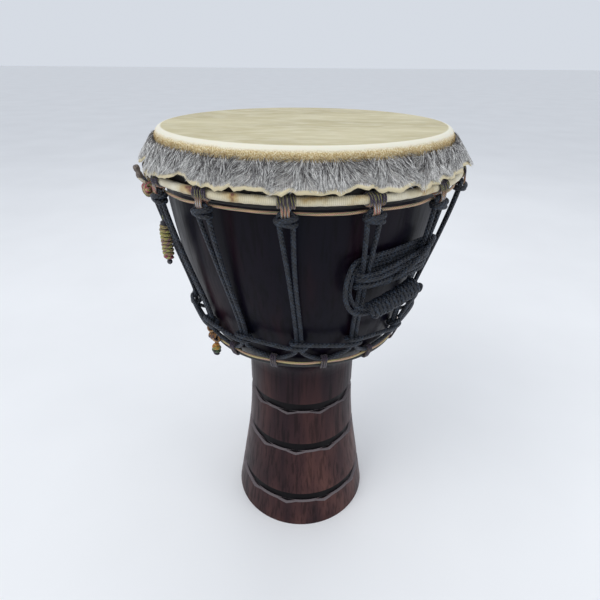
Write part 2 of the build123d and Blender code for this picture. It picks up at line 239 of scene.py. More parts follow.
def black_braid():
    """Black and very dark blue polyester braid with a slight sheen."""
    material, tree, shader = new_finish("black_braid", 0.5, Sheen_Weight=0.06, Sheen_Roughness=0.4)
    shader.inputs["Sheen Tint"].default_value = (0.45, 0.55, 0.9, 1)
    relief, right, left = braid_height(tree, 4.0, 0.0042)
    # Partly painted highlight: the blue that rises along every fourth strand is partly the braid's own
    # dark blue and partly painted highlight, standing in for its bluish sheen.
    fleck = maths(tree, "FRACT", maths(tree, "MULTIPLY", right, 0.25))
    blue = ramp(tree, fleck, [(0.0, (0.005, 0.007, 0.012)), (0.5, (0.008, 0.013, 0.024)),
        (0.8, (0.018, 0.030, 0.050))])
    # Painted shade: where the braid relief is low, between the strands, the colour goes to near black.
    tint = mixed(tree, maths(tree, "POWER", relief, 0.6), (0.001, 0.001, 0.002), blue)
    tree.links.new(tint, shader.inputs["Base Color"])
    raise_by(tree, shader, relief, 0.0009, 1.0)
    return material


# how far the bundle's middle lies out from the uprights
bundle_out = 0.0126
hank_route = [
    at(50.6, 0.1388, 0.3475),
    at(50.9, 0.1428, 0.357),
    at(50.0, 0.1488, 0.370),
    at(48.6, 0.1558, 0.381),
    at(46.2, 0.1608, 0.3905),
    # left along the middle of the bundle
    on_legs(43.0, bundle_out, 0.4045),
    on_legs(33.5, bundle_out, 0.3965),
    on_legs(25.0, bundle_out, 0.3885),
    # up round the outside of the left pair and behind it
    on_legs(20.0, 0.0110, 0.3895),
    on_legs(16.6, 0.0080, 0.3990),
    on_legs(15.6, 0.0040, 0.4110),
    on_legs(16.4, 0.0000, 0.4240),
    on_legs(18.4, -0.0045, 0.4330),
    on_legs(21.8, -0.0058, 0.4360),
]
# one row for each turn: behind, round the right pair, back across the front, round the left pair
for turn in (
    [(33, -6, 438), (45, -5.8, 440), (53.4, 0, 441), (47.6, 6, 441), (35, 3.2, 434), (22.6, 6.2, 425.5),
        (17.0, 0.5, 427), (21.6, -5.8, 430.8)],
    [(33, -6, 433), (45, -5.8, 435), (52.6, 0, 435.5), (47.6, 6, 434.5), (36, 3.6, 428.5),
        (23.4, 10.4, 423), (16.2, 2.5, 423), (21.6, -5.8, 425.9)],
    [(33, -6, 427.8), (45, -5.8, 429), (54.0, 0, 429.5), (47.6, 6, 428.5), (35, 3.0, 424),
        (22.6, 6.2, 420.2), (17.3, 0.2, 419), (21.6, -5.8, 421.0)],
    [(33, -6, 422.6), (45, -5.8, 424), (52.9, 0, 423), (47.6, 6, 422), (36, 3.6, 418.5),
        (23.2, 10.6, 417.6), (16.6, 2.0, 415), (21.6, -5.8, 416.0)],
    [(33, -6, 417.4), (45, -5.8, 418), (53.6, 0, 416.5), (47.6, 6, 415.6), (35, 3.0, 413.5),
        (22.6, 6.2, 414.2), (17.6, 0.0, 411.5), (21.6, -5.8, 410.6)],
    [(26.0, -4.0, 409.5), (28.5, 4.0, 412), (34, 9.5, 421), (41, 9.8, 436), (47.4, 6.4, 447.0),
        (53.8, 0, 447), (45, -5.9, 445.6), (33, -6.1, 443.4), (21.8, -5.8, 441.3)],
):
    hank_route += [on_legs(a, out / 1000, z / 1000) for a, out, z in turn]
hank_route += [
    # down outside the first strand and right along the bundle
    on_legs(17.2, -0.0045, 0.4390),
    on_legs(14.9, 0.0010, 0.4290),
    on_legs(13.8, 0.0060, 0.4130),
    on_legs(14.6, 0.0110, 0.3970),
    on_legs(17.8, 0.0145, 0.3860),
    on_legs(24.0, 0.0130, 0.3836),
    on_legs(33.5, bundle_out, 0.3912),
    on_legs(40.0, bundle_out, 0.3970),
    on_legs(43.4, 0.0128, 0.4000),
    on_legs(43.9, 0.0185, 0.4046),
]
whip_turns = 14
for step in range(whip_turns * 12):
    share = step / (whip_turns * 12)
    middle = on_legs(43.2 - 19.2 * share, bundle_out, 0.4024 - 0.0169 * share)
    after = on_legs(43.2 - 19.2 * (share + 0.01), bundle_out, 0.4024 - 0.0169 * (share + 0.01))
    along = (after - middle).normalized()
    outward = Vector((middle.x, middle.y, 0)).normalized()
    upward = along.cross(outward) * -1
    a = 2 * math.pi * step / 12 + 0.6
    wide = 0.0074 + 0.0003 * math.sin(step * 0.37)
    hank_route.append(middle + (outward * math.cos(a) + upward * math.sin(a)) * wide)
hank_route += [on_legs(24.6, 0.0140, 0.3910), on_legs(27.5, bundle_out, 0.3915)]
hank_line = line_of(hank_route, steps=6)
spare_rope = laid_cord("spare_rope", [hank_line], rope_radius, 14)
braid = black_braid()
spare_rope.data.materials.append(braid)
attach(spare_rope, "root")
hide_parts("spare_rope_lead", "spare_rope_hank")

# --- Shell ----------------------------------------------------------------------------------
# One goblet of hardwood, turned and carved, stained almost black with a red-brown showing
# through, and lacquered. Three carved bands of arches run round the leg.
material, tree, shader = new_finish("stained_wood", 0.36, Specular_IOR_Level=0.10, Coat_Weight=0.025,
    Coat_Roughness=0.2)
grain = object_noise(tree, 260.0, 5.0, (1, 1, 0.06))
bands = object_noise(tree, 34.0, 3.0, (1, 1, 0.12))
cloud = object_noise(tree, 9.0, 2.0)
high = height_of(tree)
low = put(tree, "ShaderNodeMapRange", {0: high, 1: 0.30, 2: 0.12, 3: 0.0, 4: 1.0}).outputs[0]
deep = ramp(tree, bands, [(0.3, (0.0016, 0.0022, 0.0070)), (0.55, (0.0045, 0.0026, 0.0072)),
    (0.75, (0.014, 0.0036, 0.007))])
warm = ramp(tree, bands, [(0.3, (0.020, 0.010, 0.012)), (0.5, (0.056, 0.024, 0.024)),
    (0.72, (0.105, 0.045, 0.038))])
stain = mixed(tree, maths(tree, "MULTIPLY", low, maths(tree, "ADD", cloud, 0.35)), deep, warm)
pores = ramp(tree, grain, [(0.36, (0.35, 0.35, 0.35)), (0.5, (1, 1, 1))])
stain = mixed(tree, 0.7, stain, pores, "MULTIPLY")


def from_axis(tree):
    """How far a point of the object stands from the drum's axis, in metres."""
    place = put(tree, "ShaderNodeTexCoord")
    flat = put(tree, "ShaderNodeVectorMath", {0: place.outputs["Object"], 1: (1, 1, 0)},
        operation="MULTIPLY")
    return put(tree, "ShaderNodeVectorMath", {0: flat.outputs[0]}, operation="LENGTH").outputs["Value"]


wide = from_axis(tree)
# Painted shade: inside each of the three grooves, below its top edge and inside the floor radius, the wood
# is painted near black to stand in for the shade in the recess.
groove_shade = None
for groove_top, floor_radius in ((0.204, 0.0683), (0.138, 0.0734), (0.054, 0.0867)):
    below = maths(tree, "LESS_THAN", high, groove_top)
    above = maths(tree, "GREATER_THAN", high, groove_top - 0.0175)
    inside = maths(tree, "LESS_THAN", wide, floor_radius)
    within = maths(tree, "MULTIPLY", maths(tree, "MULTIPLY", below, above), inside)
    groove_shade = within if groove_shade is None else maths(tree, "MAXIMUM", groove_shade, within)
stain = mixed(tree, groove_shade, stain, (0.004, 0.003, 0.004))
# Painted highlight: every face of the leg below 0.21 m that faces upwards, such as the ledges at the foot
# of the grooves, is painted pale grey to stand in for the light they catch.
facing = put(tree, "ShaderNodeSeparateXYZ", {0: put(tree,
    "ShaderNodeNewGeometry").outputs["True Normal"]}).outputs[2]
ledge_highlight = maths(tree, "MULTIPLY", maths(tree, "GREATER_THAN", facing, 0.5),
    maths(tree, "LESS_THAN", high, 0.21))
stain = mixed(tree, maths(tree, "MULTIPLY", ledge_highlight, 0.9), stain, (0.23, 0.20, 0.21))
tree.links.new(stain, shader.inputs["Base Color"])
tree.links.new(put(tree, "ShaderNodeMapRange", {0: grain, 1: 0.3, 2: 0.7, 3: 0.46, 4: 0.30}).outputs[0],
    shader.inputs["Roughness"])
raise_by(tree, shader, maths(tree, "ADD", grain, maths(tree, "MULTIPLY", bands, 2.0)), 0.0002, 0.4)
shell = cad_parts["shell"]
shell.data.materials.clear()
shell.data.materials.append(material)

# --- Goat skin ------------------------------------------------------------------------------
# One rawhide, wetted and stretched over the rim, tucked round a hidden steel hoop and turned
# back over the crown ring. The face is scraped bare; the trimmed collar keeps its hair.


def turned(name, profile, steps):
    """A profile spun once round the drum's axis."""
    mesh = bpy.data.meshes.new(name)
    mesh.from_pydata([(r, 0, z) for r, z in profile], [(i, i + 1) for i in range(len(profile) - 1)], [])
    piece = bpy.data.objects.new(name, mesh)
    bpy.context.scene.collection.objects.link(piece)
    bpy.context.view_layer.objects.active = piece
    piece.select_set(True)
    bpy.ops.object.mode_set(mode="EDIT")
    bpy.ops.mesh.select_all(action="SELECT")
    bpy.ops.mesh.spin(steps=steps, angle=2 * math.pi, center=(0, 0, 0), axis=(0, 0, 1))
    bpy.ops.mesh.select_all(action="SELECT")
    bpy.ops.mesh.remove_doubles(threshold=1e-5)
    bpy.ops.mesh.normals_make_consistent(inside=False)
    bpy.ops.object.mode_set(mode="OBJECT")
    bpy.ops.object.shade_smooth()
    piece.select_set(False)
    return piece


def ripple(azimuth, scale, seed):
    """A smooth ripple round the drum that meets itself."""
    return noise.noise(Vector((math.cos(azimuth) * scale, math.sin(azimuth) * scale, seed)))


def azimuth_of(tree):
    """The angle of a point of the object round the drum's axis."""
    place = put(tree, "ShaderNodeTexCoord")
    apart = put(tree, "ShaderNodeSeparateXYZ", {0: place.outputs["Object"]})
    return maths(tree, "ARCTAN2", apart.outputs[0], apart.outputs[1])


face = [(0, 0.54), (0.02, 0.54), (0.045, 0.54), (0.075, 0.54), (0.105, 0.54), (0.13, 0.54), (0.145, 0.54),
    (0.1505, 0.54)]
edge = [(0.150 + 0.007 * math.sin(a), 0.533 + 0.007 * math.cos(a)) for a in (0.35, 0.7, 1.05, 1.4)]
tuck = [(0.157, 0.530), (0.157, 0.520), (0.157, 0.505), (0.157, 0.4955), (0.1580, 0.4921),
    (0.1600, 0.4919), (0.1613, 0.4935), (0.1612, 0.4958)]
rise = [(0.1593, 0.500), (0.1584, 0.510), (0.1583, 0.520), (0.1583, 0.5262), (0.1600, 0.5285),
    (0.1626, 0.5279)]
collar = [(0.1626 + 0.0019 * k, 0.5276 - 0.00282 * k) for k in range(1, 8)]
skin = turned("goat_hide", face + edge + tuck + rise + collar, 360)
reach = collar[-1][0]
fur = skin.data.attributes.new("collar", "FLOAT", "POINT")


def jag(a):
    """How far the trimmed edge of the collar strays outwards."""
    return ripple(a, 6, 1.0) * 0.0055 + ripple(a, 22, 2.0) * 0.0026 + ripple(a, 60, 3.0) * 0.0010


def lift(a):
    """How far the edge of the collar curls up or down."""
    return ripple(a, 7, 4.0) * 0.0056 + ripple(a, 24, 5.0) * 0.0018


for vertex in skin.data.vertices:
    radius = math.hypot(vertex.co.x, vertex.co.y)
    a = math.atan2(vertex.co.x, -vertex.co.y)
    outer = radius > 0.1616 and vertex.co.z < 0.5284 and vertex.co.z > 0.498
    if outer:
        share = min(max((radius - 0.1626) / (reach - 0.1626), 0), 1)
        wide = radius + jag(a) * share
        vertex.co.x *= wide / radius
        vertex.co.y *= wide / radius
        vertex.co.z += lift(a) * share**1.5 - jag(a) * share * 0.9
        fur.data[vertex.index].value = 0.05 + 0.95 * share
    elif radius < 0.1505:
        vertex.co.z -= 0.00022 * (1 + noise.noise(vertex.co * 60)) * min(1, (0.1505 - radius) * 80)
bpy.context.view_layer.objects.active = skin
thick = skin.modifiers.new("thick", "SOLIDIFY")
thick.thickness = 0.0014
thick.offset = -1
bpy.ops.object.modifier_apply(modifier="thick")

material, tree, shader = new_finish("scraped_hide", 0.55, Subsurface_Weight=0.08, Subsurface_Scale=0.002)
shader.inputs["Subsurface Radius"].default_value = (1.0, 0.6, 0.35)
soft = object_noise(tree, 14.0, 5.0, (0.45, 1.6, 1))
mottle = object_noise(tree, 90.0, 6.0, (0.5, 1.5, 1))
fine = object_noise(tree, 900.0, 2.0)
high = height_of(tree)
wide = from_axis(tree)
cream = ramp(tree, soft, [(0.3, (0.37, 0.31, 0.15)), (0.5, (0.48, 0.42, 0.23)), (0.7, (0.58, 0.52, 0.32))])
cream = mixed(tree, ramp(tree, mottle, [(0.45, (0, 0, 0)), (0.7, (0.6, 0.6, 0.6))]), cream,
    (0.64, 0.59, 0.42))
rim = put(tree, "ShaderNodeMapRange", {0: wide, 1: 0.1496, 2: 0.1514, 3: 0.0, 4: 1.0}).outputs[0]
cream = mixed(tree, rim, cream, (0.80, 0.76, 0.62))
gold = put(tree, "ShaderNodeMapRange", {0: maths(tree, "ADD", high,
    maths(tree, "MULTIPLY", mottle, 0.003)), 1: 0.5392, 2: 0.5366, 3: 0.0, 4: 1.0}).outputs[0]
straw = ramp(tree, fine, [(0.36, (0.44, 0.30, 0.12)), (0.50, (0.64, 0.50, 0.25)),
    (0.64, (0.78, 0.69, 0.46))])
cream = mixed(tree, gold, cream, straw)
# Painted shade: the hide is painted near black below 0.4985 m, and wherever it stands more than 0.15775 m
# from the axis, on the tuck and the rise behind the crown ring. This stands in for the shadow under the
# collar. The hair colours below paint over the collar itself.
dark = put(tree, "ShaderNodeMapRange", {0: high, 1: 0.5010, 2: 0.4985, 3: 0.0, 4: 1.0}).outputs[0]
fold_shade = maths(tree, "GREATER_THAN", wide, 0.15775)
cream = mixed(tree, maths(tree, "MAXIMUM", dark, fold_shade), cream, (0.012, 0.010, 0.009))
share = put(tree, "ShaderNodeAttribute", attribute_name="collar").outputs["Fac"]
round_it = maths(tree, "MULTIPLY", azimuth_of(tree), 330.0)
combed = put(tree, "ShaderNodeCombineXYZ", {0: round_it, 1: maths(tree, "MULTIPLY", wide, 170.0), 2: 0.0})
streak = put(tree, "ShaderNodeTexNoise", {"Vector": combed.outputs[0], "Scale": 1.0,
    "Detail": 4.0}).outputs[0]
pelt = ramp(tree, streak, [(0.32, (0.06, 0.05, 0.045)), (0.43, (0.26, 0.24, 0.23)),
    (0.55, (0.58, 0.56, 0.53)), (0.70, (0.84, 0.82, 0.77))])
pelt = mixed(tree, put(tree, "ShaderNodeMapRange", {0: share, 1: 0.84, 2: 0.90, 3: 0.0,
    4: 1.0}).outputs[0], pelt, (0.68, 0.59, 0.38))
cream = mixed(tree, maths(tree, "GREATER_THAN", share, 0.02), cream, pelt)
tree.links.new(cream, shader.inputs["Base Color"])
raise_by(tree, shader, maths(tree, "ADD", mottle, maths(tree, "MULTIPLY", fine, 0.4)), 0.0003, 0.5)
skin.data.materials.append(material)
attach(skin, "root")
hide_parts("goat_skin")

# --- Hair -----------------------------------------------------------------------------------
# What the razor left on the collar: coarse goat hair that lies outwards and down over the
# crown ring, in streaks of grey, white and dark brown, and a short stubble under the rim.
down = Vector((0.559, 0.0, -0.829))
off = Vector((0.829, 0.0, 0.559))


def hairs(name, colours, count, lengths, seed, roots=(-0.0008, 0.019), width=0.00021, on_rim=False):
    """Tapered strands, each three-sided, that lie over the collar in swept locks."""
    draw = random.Random(seed)
    points, faces = [], []
    steps = 4
    for number in range(count):
        a = draw.uniform(-math.pi, math.pi)
        start = draw.uniform(*roots)
        sweep = 2.1 * ripple(a, 6, 8.0) + 1.2 * ripple(a, 24, 9.0 + start * 60) + draw.gauss(0.0, 0.17)
        bend = draw.gauss(0.0, 0.22) + 0.8 * ripple(a, 15, 12.0)
        length = draw.uniform(*lengths)
        loft = draw.uniform(0.0003, 0.0017)
        limit = 0.0230 + jag(a) * 1.25 + draw.uniform(-0.0015, 0.0012)
        curl, straying = lift(a), jag(a)
        along, aside = start, 0.0
        base = len(points)
        for i in range(steps + 1):
            t = i / steps
            rise = 0.0001 + loft * math.sin(math.pi * min(0.9, t * 0.9 + 0.08))
            if on_rim:
                middle = Vector((0.1571, 0.0, start)) + Vector((0.45, 0.0,
                    -0.85)) * length * t + off * rise * 0.3
                out = 0.0
            else:
                out = min(max(along / 0.0245, 0.0), 1.1)
                middle = Vector((0.1618, 0.0, 0.5290)) + down * along + off * rise
                middle.z += curl * out**1.5 - straying * out * 0.9
                middle.x += straying * out
            turn = Matrix.Rotation(a + aside / 0.168 - math.pi / 2, 3, "Z")
            if i == steps:
                points.append(turn @ middle)
                break
            wide = width * (1 - 0.55 * t)
            for across, outward in ((0.0, 1.0), (0.87, -0.5), (-0.87, -0.5)):
                points.append(turn @ (middle + off * outward * wide * 0.7 + Vector((0, across * wide, 0))))
            heading = sweep + bend * t
            along = min(along + length / steps * math.cos(heading), limit)
            aside += length / steps * math.sin(heading)
        for i in range(steps - 1):
            for k in range(3):
                m = (k + 1) % 3
                faces.append((base + i * 3 + m, base + i * 3 + k, base + i * 3 + 3 + k,
                    base + i * 3 + 3 + m))
        for k in range(3):
            faces.append((base + steps * 3 - 3 + (k + 1) % 3, base + steps * 3 - 3 + k, base + steps * 3))
        faces.append((base, base + 1, base + 2))
    mesh = bpy.data.meshes.new(name)
    mesh.from_pydata(points, [], faces)
    piece = bpy.data.objects.new(name, mesh)
    bpy.context.scene.collection.objects.link(piece)
    material, tree, shader = new_finish(name + "_finish", 0.45, Sheen_Weight=0.1)
    streak = object_noise(tree, 380.0, 2.0)
    tree.links.new(ramp(tree, streak, [(0.35, colours[0]), (0.65, colours[1])]),
        shader.inputs["Base Color"])
    raise_by(tree, shader, streak, 0.0001, 0.3)
    piece.data.materials.append(material)
    piece.data.shade_smooth()
    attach(piece, "root")
    return piece


hairs("hair_white", ((0.66, 0.65, 0.62), (0.90, 0.89, 0.86)), 8500, (0.008, 0.017), 21, (-0.0020, 0.0205),
    0.00025)
hairs("hair_grey", ((0.20, 0.19, 0.19), (0.46, 0.45, 0.44)), 6500, (0.007, 0.016), 22, (-0.0032, 0.019))
hairs("hair_dark", ((0.022, 0.018, 0.018), (0.075, 0.065, 0.060)), 5200, (0.006, 0.013), 23,
    (-0.0034, 0.010))
hairs("hair_straw", ((0.40, 0.24, 0.08), (0.66, 0.50, 0.24)), 3600, (0.0010, 0.0030), 24, (0.5288, 0.5345),
    0.00014, True)

# --- Hoops and crown ring -------------------------------------------------------------------
# A plain steel hoop inside the fold of the hide, and the crown ring that pulls it down, bound
# from end to end with a strip of cream cotton that has yellowed and taken some red dye.
material, tree, shader = new_finish("dull_steel", 0.42, Metallic=1.0)
tree.links.new(ramp(tree, object_noise(tree, 300.0), [(0.3, (0.22, 0.22, 0.22)),
    (0.7, (0.42, 0.41, 0.40))]), shader.inputs["Base Color"])
raise_by(tree, shader, object_noise(tree, 1500.0), 0.0001, 0.3)
for name in ("flesh_hoop", "crown_ring"):
    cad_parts[name].data.materials.clear()
    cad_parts[name].data.materials.append(material)

ring_radius = 0.16783
bpy.ops.mesh.primitive_torus_add(major_segments=900, minor_segments=20, major_radius=ring_radius,
    minor_radius=0.0040, location=(0, 0, 0.5))
cloth = bpy.context.object
cloth.name = "crown_ring_cloth"
bpy.ops.object.transform_apply(location=True, rotation=True, scale=True)
for vertex in cloth.data.vertices:
    a = math.atan2(vertex.co.x, -vertex.co.y)
    centre = Vector((ring_radius * math.sin(a), -ring_radius * math.cos(a), 0.5))
    b = math.atan2(vertex.co.z - 0.5, math.hypot(vertex.co.x, vertex.co.y) - ring_radius)
    lap = (a * 190 / math.tau + b * 0.35 / math.tau * 2) % 1.0
    fold = 0.00035 * lap + 0.00025 * noise.noise(Vector((a * 40, b * 2, 0)))
    vertex.co = centre + (vertex.co - centre).normalized() * (0.0038 + fold)
bpy.ops.object.shade_smooth()
cloth.select_set(False)
material, tree, shader = new_finish("ring_cotton", 0.85, Sheen_Weight=0.3)
stain = object_noise(tree, 45.0, 5.0)
weave = object_noise(tree, 1400.0, 2.0)
rib_relief_and_shade = maths(tree, "ABSOLUTE", maths(tree, "SINE", maths(tree, "MULTIPLY", azimuth_of(tree), 330.0)))
tone = ramp(tree, stain, [(0.27, (0.16, 0.045, 0.03)), (0.33, (0.46, 0.32, 0.13)),
    (0.44, (0.68, 0.60, 0.40)), (0.7, (0.80, 0.75, 0.60))])
# Painted shade: the colour is darkened in the troughs between the ribs of the wound strip, and the same
# ribs also give the bump below.
tone = mixed(tree, 0.5, tone, ramp(tree, rib_relief_and_shade, [(0.1, (0.55, 0.52, 0.45)), (0.5, (1, 1, 1))]), "MULTIPLY")
tree.links.new(tone, shader.inputs["Base Color"])
raise_by(tree, shader, maths(tree, "ADD", rib_relief_and_shade, maths(tree, "MULTIPLY", weave, 0.5)), 0.0004, 0.7)
cloth.data.materials.clear()
cloth.data.materials.append(material)
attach(cloth, "root")
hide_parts("crown_ring_wrap")

# --- Crown loops ----------------------------------------------------------------------------
# At each pair of uprights, turns of thin patterned cord go round the crown ring and down
# through the rope's eye, and hold the eye up. The cord is a round braid of several colours.
cord_radius = 0.0011
pairs = [-53.4, -31.1, -5.1, 20.0, 46.2, 72.24, 98.28, 124.32, 150.36, 176.40, 202.44, 228.48, 254.52,
    280.56]
hitches = [(a + b) / 2 for a, b in zip(pairs, pairs[1:] + [pairs[0] + 360])]


def braid_over(tree, shader, tint, relief, distance):
    """A cord's colours, painted darker between the strands as painted shade, with the strands standing up.
    """
    gap_shade = ramp(tree, relief, [(0.0, (0.12, 0.12, 0.12)), (0.45, (1, 1, 1))])
    tree.links.new(mixed(tree, 0.75, tint, gap_shade, "MULTIPLY"), shader.inputs["Base Color"])
    raise_by(tree, shader, relief, distance, 0.8)


def patterned(name, colours, period=0.011, dark_above=None):
    """Braided cord whose coloured strands show in turn along it."""
    material, tree, shader = new_finish(name, 0.6, Sheen_Weight=0.25)
    relief, right, left = braid_height(tree, 4.0, 0.0019)
    place = put(tree, "ShaderNodeUVMap", uv_map="UVMap")
    apart = put(tree, "ShaderNodeSeparateXYZ", {0: place.outputs[0]})
    spiral = maths(tree, "ADD", maths(tree, "DIVIDE", apart.outputs[1], period),
        maths(tree, "MULTIPLY", apart.outputs[0], 2.0))
    stops = [(i / len(colours), colour) for i, colour in enumerate(colours)]
    tint = ramp(tree, maths(tree, "FRACT", spiral), stops, hard=True)
    if dark_above:
        low, high, over = dark_above
        share = put(tree, "ShaderNodeMapRange", {0: height_of(tree), 1: low, 2: high, 3: 0.0,
            4: 1.0}).outputs[0]
        stops = [(i / len(over), colour) for i, colour in enumerate(over)]
        tint = mixed(tree, share, tint, ramp(tree, maths(tree, "FRACT", spiral), stops, hard=True))
    braid_over(tree, shader, tint, relief, 0.0004)
    return material


purple, ink, lime = (0.045, 0.018, 0.060), (0.010, 0.008, 0.014), (0.50, 0.52, 0.08)
tan, rose, leaf, pale = (0.42, 0.27, 0.13), (0.48, 0.13, 0.16), (0.16, 0.26, 0.09), (0.42, 0.46, 0.58)
ring = Vector((ring_radius, 0.5))
eye = Vector((0.1702, 0.4907))


def belt(low_radius, low, high_radius, high):
    """Points round two bars seen end on, for a loop of cord that is drawn tight."""
    span = high - low
    lean = math.atan2(span.x, span.y)
    points = []
    for centre, radius, first in ((high, high_radius, -90), (low, low_radius, 90)):
        for step in range(7):
            a = lean + math.radians(first + step * 30)
            points.append(centre + Vector((math.sin(a), math.cos(a))) * radius * 1.035)
    return points


loop_lines = []
draw = random.Random(5)
for azimuth in pairs:
    points = belt(0.0036, eye, 0.0053, ring)
    for across in (-0.0023, 0.0, 0.0023):
        wander = draw.uniform(-0.0004, 0.0004)
        stand = [at(azimuth, p.x, p.y, across * (1.25 if p.y > 0.496 else 0.95) + wander) for p in points]
        loop_lines.append(line_of(stand, closed=True, steps=4))
    for across in (-0.0066, -0.0045, 0.0045, 0.0066):
        turn = [ring + Vector((math.sin(a), math.cos(a))) * 0.0053
            * 1.035 for a in (k * math.pi / 6 for k in range(12))]
        loop_lines.append(line_of([at(azimuth, p.x, p.y, across + 0.0007 * math.sin(i * 0.52)) for i,
            p in enumerate(turn)], closed=True, steps=4))
crown_loops = laid_cord("crown_cord_loops", loop_lines, cord_radius, 8, closed=True, shift=0.0137)
crown_loops.data.materials.append(patterned("crown_cord", [tan, pale, (0.5, 0.4, 0.2), rose, tan], 0.013,
    (0.4935, 0.4985, [ink, purple, ink, (0.26, 0.25, 0.06), purple])))
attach(crown_loops, "root")
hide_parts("crown_loops")

# --- Crown lacing ---------------------------------------------------------------------------
# The same patterned cord runs on round the drum from eye to eye, under the crown ring, pulled
# tight against the fold of the hide.
route = []
for here, after in zip(pairs, pairs[1:] + [pairs[0] + 360]):
    route += [at(here - 2.4, 0.1643, 0.4888), at(here + 2.4, 0.1643, 0.4891)]
    route += [at(here + (after - here) * s, 0.1650 + 0.0004 * math.sin(here + s * 9),
        0.4886 - 0.0005 * math.cos(here * 3 + s * 5)) for s in (0.3, 0.5, 0.7)]
lacing = laid_cord("crown_lacing_cord", [line_of(route, closed=True)], 0.0013, 10, closed=True)
lacing_finish = patterned("lacing_cord", [(0.56, 0.38, 0.20), (0.62, 0.46, 0.20), (0.60, 0.26, 0.24),
    (0.56, 0.38, 0.20), (0.24, 0.32, 0.14), (0.58, 0.30, 0.24)], 0.031)
lacing.data.materials.append(lacing_finish)
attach(lacing, "root")
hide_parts("crown_lacing")

# --- Vertical rope --------------------------------------------------------------------------
# One long black rope that goes up to an eye, down to the bottom ring and on to the next eye
# all the way round: fourteen pairs of uprights, each drawn together by the weave.
twist = 3.4
route = []
for here, low, high in zip(pairs, [hitches[-1] - 360] + hitches[:-1], hitches):
    foot, half = here + twist, here + twist * 0.35
    route += [
        at(low + twist, 0.12344, 0.3134, 0.0062),
        at(foot, 0.1340, 0.3290, -0.0026),
        at(foot, 0.1340, 0.3370, -0.0023),
        at(foot, 0.1340, 0.3520, -0.0024),
        at(half, 0.15608, 0.425, -0.0024),
        at(here, 0.1697, 0.4790, -0.0058),
        at(here, 0.1703, 0.4912, -0.0062),
        at(here, 0.1703, 0.4912, 0.0062),
        at(here, 0.1697, 0.4790, 0.0058),
        at(half, 0.15608, 0.425, 0.0024),
        at(foot, 0.1340, 0.3520, 0.0024),
        at(foot, 0.1340, 0.3370, 0.0023),
        at(foot, 0.1340, 0.3290, 0.0026),
        at(high + twist, 0.12344, 0.3134, -0.0062),
    ]
upright_line = line_of(route, closed=True)
uprights = laid_cord("upright_rope", [upright_line], rope_radius, 14, closed=True)
uprights.data.materials.append(braid)
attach(uprights, "root")
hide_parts("vertical_rope")

# --- Eye turns ------------------------------------------------------------------------------
# Below each eye the rope takes a second turn round both legs, and the two together make a
# small black ball under the cord loops.
turn_lines = []
for azimuth in pairs:
    for drop, wide, lean in ((-0.0009, 0.0080, 0.0012), (0.0025, 0.0078, -0.0012)):
        ring_points = [(-1, -0.6), (-0.45, -1), (0.45, -1), (1, -0.6), (1.06, 0.45), (0.5, 1), (-0.5, 1),
            (-1.06, 0.45)]
        turn_lines.append(line_of([at(azimuth, 0.1702 + (0.0054 if lean > 0 else 0.0047) * r,
            0.4848 - drop + lean * x, wide * x) for x, r in ring_points], closed=True))
eye_turns = laid_cord("eye_turns", turn_lines, rope_radius, 14, closed=True)
eye_turns.data.materials.append(braid)
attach(eye_turns, "root")
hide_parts("crown_turns")

# --- Weave ----------------------------------------------------------------------------------
# The pull rope: it runs round the drum above the bottom ring, goes once round each pair and
# draws its two legs together, which tightens the head.
route = []
for here in pairs:
    foot = here + twist
    route += [
        at(foot, 0.1390, 0.3374, -0.0090),
        at(foot, 0.1394, 0.3374, 0.0040),
        at(foot, 0.1372, 0.3378, 0.0080),
        at(foot, 0.1300, 0.3388, 0.0076),
        at(foot, 0.1290, 0.3402, 0.0000),
        at(foot, 0.1300, 0.3412, -0.0076),
        at(foot, 0.1372, 0.3424, -0.0080),
        at(foot, 0.1394, 0.3426, -0.0040),
        at(foot, 0.1390, 0.3426, 0.0090),
    ]
weave_rope = laid_cord("weave_pull_rope", [line_of(route, closed=True)], rope_radius, 14, closed=True)
weave_rope.data.materials.append(braid)
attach(weave_rope, "root")
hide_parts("weave_rope")

# --- Bottom ring, its loops and its lacing --------------------------------------------------
# A black-painted steel ring lies under the bowl. Loops of patterned cord tie each lower bend
# of the rope to it, and the rest of that cord lies along the ring.
material, tree, shader = new_finish("black_ring_paint", 0.5, Metallic=0.0)
chips = object_noise(tree, 420.0, 3.0)
tree.links.new(ramp(tree, chips, [(0.5, (0.012, 0.012, 0.013)), (0.72, (0.035, 0.032, 0.030))]),
    shader.inputs["Base Color"])
raise_by(tree, shader, chips, 0.0002, 0.4)
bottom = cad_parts["bottom_ring"]
bottom.data.materials.clear()
bottom.data.materials.append(material)

low_ring = Vector((0.11914, 0.30362))
low_bend = Vector((0.12344, 0.31332))
low_lines = []
for azimuth in hitches:
    points = belt(0.0038, low_ring, 0.0036, low_bend)
    for across in (-0.0023, 0.0, 0.0023):
        low_lines.append(line_of([at(azimuth + twist, p.x, p.y,
            across + draw.uniform(-0.0003, 0.0003)) for p in points], closed=True, steps=4))
# Painted shade: these loops are given only black, purple and dark brown, though the same cord along the
# ring is tan and pink. The dark colours stand in for the shade the loops lie in under the ring.
low_loops = laid_cord("bottom_cord_loops", low_lines, cord_radius, 8, closed=True, shift=0.0113)
low_loops.data.materials.append(patterned("shade_painted_bottom_cord", [ink, purple, ink, (0.10, 0.05, 0.03)], 0.012))
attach(low_loops, "root")
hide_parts("bottom_loops")

